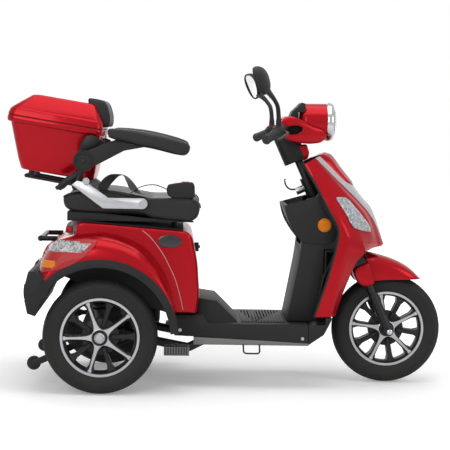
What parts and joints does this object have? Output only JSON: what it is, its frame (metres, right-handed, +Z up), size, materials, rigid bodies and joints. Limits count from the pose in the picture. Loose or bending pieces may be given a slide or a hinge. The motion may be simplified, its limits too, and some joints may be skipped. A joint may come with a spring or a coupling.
{
  "type": "electric trike",
  "caption": "Electric mobility trike with one steered front wheel, armchair seat, padded top case, leg shield, flat floor and mirrors.",
  "frame": {"origin": "on the ground under the centre of the bounding box, on the centre plane", "axes": "+X forward, +Y to the rider's left, +Z up"},
  "size_m": [1.5958, 0.73, 1.1587],
  "materials": {
    "red_paint": "glossy clear-coated red",
    "dark_plastic": "matt, lightly grained dark grey",
    "black_metal": "satin black",
    "grey_plastic": "matt mid grey",
    "black_vinyl": "satin grained black upholstery",
    "tyre_rubber": "matt black rubber",
    "grip_rubber": "matt black rubber",
    "silver_metal": "satin silver",
    "bright_chrome": "bright",
    "clear_lens": "clear moulded lens",
    "red_lens": "transparent red",
    "amber_lens": "transparent amber",
    "plate_white": "plain matt white",
    "black_web": "woven black webbing"
  },
  "bodies": {
    "chassis": {"frame": "black_metal", "rear_axle": "black_metal", "battery_case": "grey_plastic", "footboard": "dark_plastic", "leg_panel": "dark_plastic", "front_shield": "red_paint", "front_lamps": "clear_lens", "wheel_arch_liner": "dark_plastic", "lower_cowl": "dark_plastic", "key_lock": "bright_chrome", "rear_body": "red_paint", "rear_bumper": "dark_plastic", "tail_lamps": "red_lens", "reflectors": "amber_lens", "number_plate": "plate_white", "grab_rail": "black_metal", "foot_pegs": "silver_metal", "stick_loop": "bright_chrome", "anti_tip_arms": "black_metal", "seat_cushion": "black_vinyl", "seat_base": "black_metal", "seat_brackets": "silver_metal", "back_frame": "black_metal", "case_base": "red_paint", "seat_belt": "black_web"},
    "case_lid": {"case_lid": "red_paint", "lid_pad": "black_vinyl"},
    "armrest_left": {"armrest_left_arm": "dark_plastic", "armrest_left_pad": "black_vinyl"},
    "armrest_right": {"armrest_right_arm": "dark_plastic", "armrest_right_pad": "black_vinyl"},
    "steering": {"fork": "black_metal", "front_mudguard": "red_paint", "handlebar": "black_metal", "grips": "grip_rubber", "hand_controls": "dark_plastic", "column_cover": "dark_plastic", "head_cowling": "red_paint", "head_lamp_ring": "bright_chrome", "head_lamp_lens": "clear_lens", "mirrors": "dark_plastic"},
    "front_wheel": {"front_wheel_tyre": "tyre_rubber", "front_wheel_rim": "silver_metal"},
    "rear_wheel_left": {"rear_wheel_left_tyre": "tyre_rubber", "rear_wheel_left_rim": "silver_metal"},
    "rear_wheel_right": {"rear_wheel_right_tyre": "tyre_rubber", "rear_wheel_right_rim": "silver_metal"},
    "anti_tip_left": {"anti_tip_wheel_left": "grip_rubber"},
    "anti_tip_right": {"anti_tip_wheel_right": "grip_rubber"}
  },
  "joints": [
    {"name": "steering", "type": "hinge", "parent": "chassis", "child": "steering", "pos_m": [0.40299, 0, 0.5], "axis": [-0.4147, 0, 0.91], "range_deg": [-38, 38]},
    {"name": "front_wheel_spin", "type": "hinge", "parent": "steering", "child": "front_wheel", "pos_m": [0.59593, 0, 0.202], "axis": [0, 1, 0], "continuous": true},
    {"name": "rear_wheel_left_spin", "type": "hinge", "parent": "chassis", "child": "rear_wheel_left", "pos_m": [-0.45107, 0.31, 0.202], "axis": [0, 1, 0], "continuous": true},
    {"name": "rear_wheel_right_spin", "type": "hinge", "parent": "chassis", "child": "rear_wheel_right", "pos_m": [-0.45107, -0.31, 0.202], "axis": [0, 1, 0], "continuous": true},
    {"name": "anti_tip_left_spin", "type": "hinge", "parent": "chassis", "child": "anti_tip_left", "pos_m": [-0.69207, 0.2, 0.087], "axis": [0, 1, 0], "continuous": true},
    {"name": "anti_tip_right_spin", "type": "hinge", "parent": "chassis", "child": "anti_tip_right", "pos_m": [-0.69207, -0.2, 0.087], "axis": [0, 1, 0], "continuous": true},
    {"name": "case_lid_hinge", "type": "hinge", "parent": "chassis", "child": "case_lid", "pos_m": [-0.43735, 0, 0.9204], "axis": [0, 1, 0], "range_deg": [0, 75]},
    {"name": "armrest_left_swing", "type": "hinge", "parent": "chassis", "child": "armrest_left", "pos_m": [-0.51807, 0.268, 0.813], "axis": [0, -1, 0], "range_deg": [0, 95]},
    {"name": "armrest_right_swing", "type": "hinge", "parent": "chassis", "child": "armrest_right", "pos_m": [-0.51807, -0.268, 0.813], "axis": [0, -1, 0], "range_deg": [0, 95]}
  ]
}
